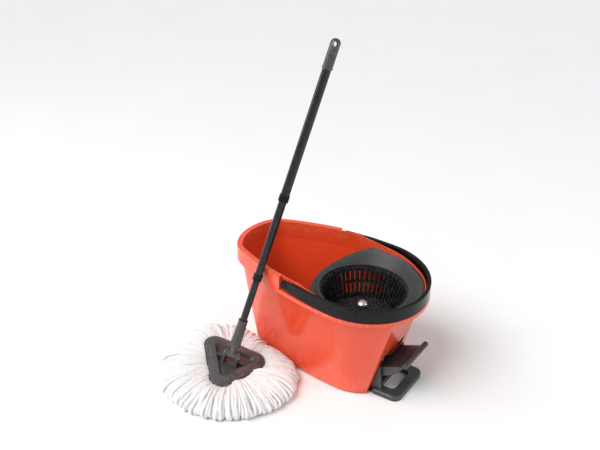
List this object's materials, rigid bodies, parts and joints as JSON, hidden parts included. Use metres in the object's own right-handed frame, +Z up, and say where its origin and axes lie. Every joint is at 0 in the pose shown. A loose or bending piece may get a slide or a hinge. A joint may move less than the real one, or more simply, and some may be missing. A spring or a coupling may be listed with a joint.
{
  "type": "spin mop and bucket",
  "caption": "Oval wringer bucket with a pedal-driven spin basket and folding bow handle, and a telescopic swivel mop with a triangular head and a ring of fibre strands.",
  "frame": {"origin": "on the floor under the spin basket's axis", "axes": "+Z up; +X towards the pedal at the wringer end; +Y to the side away from the mop"},
  "size_m": [0.5177, 0.4852, 0.7334],
  "materials": {
    "bucket_red": "gloss",
    "dark_plastic": "satin",
    "black_plastic": "gloss",
    "polished_steel": "polished",
    "plain_steel": "bright",
    "pale_nylon": "satin",
    "seal_rubber": "matt",
    "plate_grey": "gloss",
    "mop_fibre": "matt",
    "pole_grey": "satin",
    "cap_grey": "satin"
  },
  "bodies": {
    "bucket": {"bucket_shell": "bucket_red", "wringer_insert": "dark_plastic", "handle_pins": "black_plastic", "gear_frame": "dark_plastic", "foot_frame": "dark_plastic", "frame_screws": "plain_steel", "rubber_feet": "seal_rubber", "upper_bush": "pale_nylon", "lower_bush": "pale_nylon", "shaft_seal": "seal_rubber", "axle_bushes": "pale_nylon", "pedal_pin": "plain_steel", "return_spring": "plain_steel"},
    "carry_bow": {"carry_handle": "black_plastic"},
    "pedal": {"pedal": "dark_plastic", "pedal_tread": "seal_rubber", "sector_gear": "pale_nylon", "sector_screws": "plain_steel"},
    "cross_shaft": {"cross_axle": "plain_steel", "spur_pinion": "pale_nylon", "crown_gear": "pale_nylon"},
    "drive": {"drive_shaft": "plain_steel", "drive_pinion": "pale_nylon", "thrust_washer": "pale_nylon", "clutch_sleeve": "plain_steel"},
    "basket": {"spin_basket": "black_plastic", "hub_dome": "polished_steel", "clutch_ring": "plain_steel", "clutch_rollers": "plain_steel"},
    "mop_head": {"mop_plate": "plate_grey", "plate_bumper": "seal_rubber", "plate_pin": "plain_steel", "refill_ring": "pale_nylon", "fibre_ring": "mop_fibre"},
    "yoke": {"yoke": "plate_grey"},
    "lower_pole": {"swivel_socket": "black_plastic", "lower_tube": "pole_grey", "lower_expander": "pale_nylon"},
    "lower_lock": {"lower_lock_ring": "black_plastic"},
    "middle_pole": {"middle_tube": "pole_grey", "upper_expander": "pale_nylon"},
    "upper_lock": {"upper_lock_ring": "black_plastic"},
    "upper_pole": {"upper_tube": "pole_grey", "hand_grip": "black_plastic", "hang_cap": "cap_grey"}
  },
  "joints": [
    {"name": "carry_handle_fold", "type": "hinge", "parent": "bucket", "child": "carry_bow", "pos_m": [-0.118, 0, 0.241], "axis": [0, -1, 0], "range_deg": [0, 90]},
    {"name": "pedal_press", "type": "hinge", "parent": "bucket", "child": "pedal", "pos_m": [0.058, 0, 0.046], "axis": [0, 1, 0], "range_deg": [0, 40], "stiffness_Nm_per_rad": 1.2, "springref_deg": -20.05},
    {"name": "cross_shaft_spin", "type": "hinge", "parent": "bucket", "child": "cross_shaft", "pos_m": [0, 0, 0.046], "axis": [0, 1, 0], "range_deg": [-192, 0]},
    {"name": "drive_spin", "type": "hinge", "parent": "bucket", "child": "drive", "pos_m": [0, 0, 0.1], "axis": [0, 0, 1], "range_deg": [0, 576]},
    {"name": "basket_freewheel", "type": "hinge", "parent": "drive", "child": "basket", "pos_m": [0, 0, 0.15], "axis": [0, 0, 1], "continuous": true},
    {"name": "mop_lift_off", "type": "slide", "parent": "bucket", "child": "mop_head", "axis": [-0.2639, -0.9646, 0], "range_m": [0, 0.3]},
    {"name": "yoke_tilt", "type": "hinge", "parent": "mop_head", "child": "yoke", "pos_m": [-0.213, -0.185, 0.054], "axis": [0.9354, 0.2704, -0.2278], "range_deg": [0, 60]},
    {"name": "head_swivel", "type": "hinge", "parent": "yoke", "child": "lower_pole", "pos_m": [-0.20852, -0.17653, 0.08243], "axis": [0.1492, 0.2823, 0.9476], "continuous": true},
    {"name": "lower_lock_twist", "type": "hinge", "parent": "lower_pole", "child": "lower_lock", "pos_m": [-0.18421, -0.13051, 0.23689], "axis": [0.1492, 0.2823, 0.9476], "range_deg": [0, 90]},
    {"name": "middle_slide", "type": "slide", "parent": "lower_pole", "child": "middle_pole", "axis": [0.1492, 0.2823, 0.9476], "range_m": [0, 0.1]},
    {"name": "upper_lock_twist", "type": "hinge", "parent": "middle_pole", "child": "upper_lock", "pos_m": [-0.15675, -0.07855, 0.41126], "axis": [0.1492, 0.2823, 0.9476], "range_deg": [0, 90]},
    {"name": "upper_slide", "type": "slide", "parent": "middle_pole", "child": "upper_pole", "axis": [0.1492, 0.2823, 0.9476], "range_m": [0, 0.22]}
  ],
  "couplings": [
    {"joint": "cross_shaft_spin", "follows": "pedal_press", "ratio": -4.8},
    {"joint": "drive_spin", "follows": "pedal_press", "ratio": 14.4}
  ]
}
